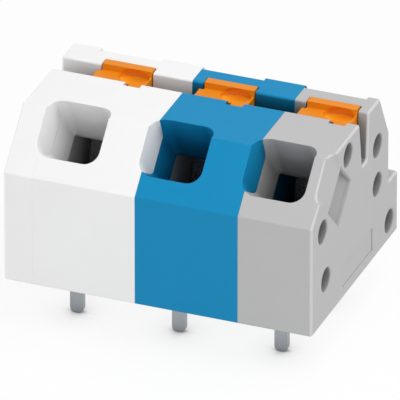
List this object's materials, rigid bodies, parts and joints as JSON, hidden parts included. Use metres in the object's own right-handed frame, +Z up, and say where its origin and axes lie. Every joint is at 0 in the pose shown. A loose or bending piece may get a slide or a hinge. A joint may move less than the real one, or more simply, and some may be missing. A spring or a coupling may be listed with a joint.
{
  "type": "push-in pcb terminal block",
  "caption": "Low row of moulded terminal poles for a circuit board, with sloping wire funnels in front, release buttons in a groove on top and flat solder pins below.",
  "frame": {"origin": "on the board, at the middle of the block's footprint; the solder pins reach below it", "axes": "+Z up from the board, +X along the row towards the face with the joining holes, -Y the side where the wires enter"},
  "size_m": [0.0226, 0.0164, 0.0154],
  "materials": {
    "white_polyamide": "satin moulded",
    "blue_polyamide": "satin moulded",
    "grey_polyamide": "satin moulded",
    "orange_button": "smooth moulded",
    "tinned_copper": "tin plated",
    "spring_steel": "bright rolled"
  },
  "bodies": {
    "block": {"end_cover": "white_polyamide", "white_housing": "white_polyamide", "blue_housing": "blue_polyamide", "grey_housing": "grey_polyamide", "left_contact": "tinned_copper", "middle_contact": "tinned_copper", "right_contact": "tinned_copper", "left_spring": "spring_steel", "middle_spring": "spring_steel", "right_spring": "spring_steel"},
    "left_release": {"left_button": "orange_button"},
    "middle_release": {"middle_button": "orange_button"},
    "right_release": {"right_button": "orange_button"}
  },
  "joints": [
    {"name": "left_press", "type": "slide", "parent": "block", "child": "left_release", "axis": [0, 0, -1], "range_m": [0, 0.001], "stiffness_N_per_m": 8000, "springref_m": -0.0005, "deforming": ["left_spring"]},
    {"name": "middle_press", "type": "slide", "parent": "block", "child": "middle_release", "axis": [0, 0, -1], "range_m": [0, 0.001], "stiffness_N_per_m": 8000, "springref_m": -0.0005, "deforming": ["middle_spring"]},
    {"name": "right_press", "type": "slide", "parent": "block", "child": "right_release", "axis": [0, 0, -1], "range_m": [0, 0.001], "stiffness_N_per_m": 8000, "springref_m": -0.0005, "deforming": ["right_spring"]}
  ]
}
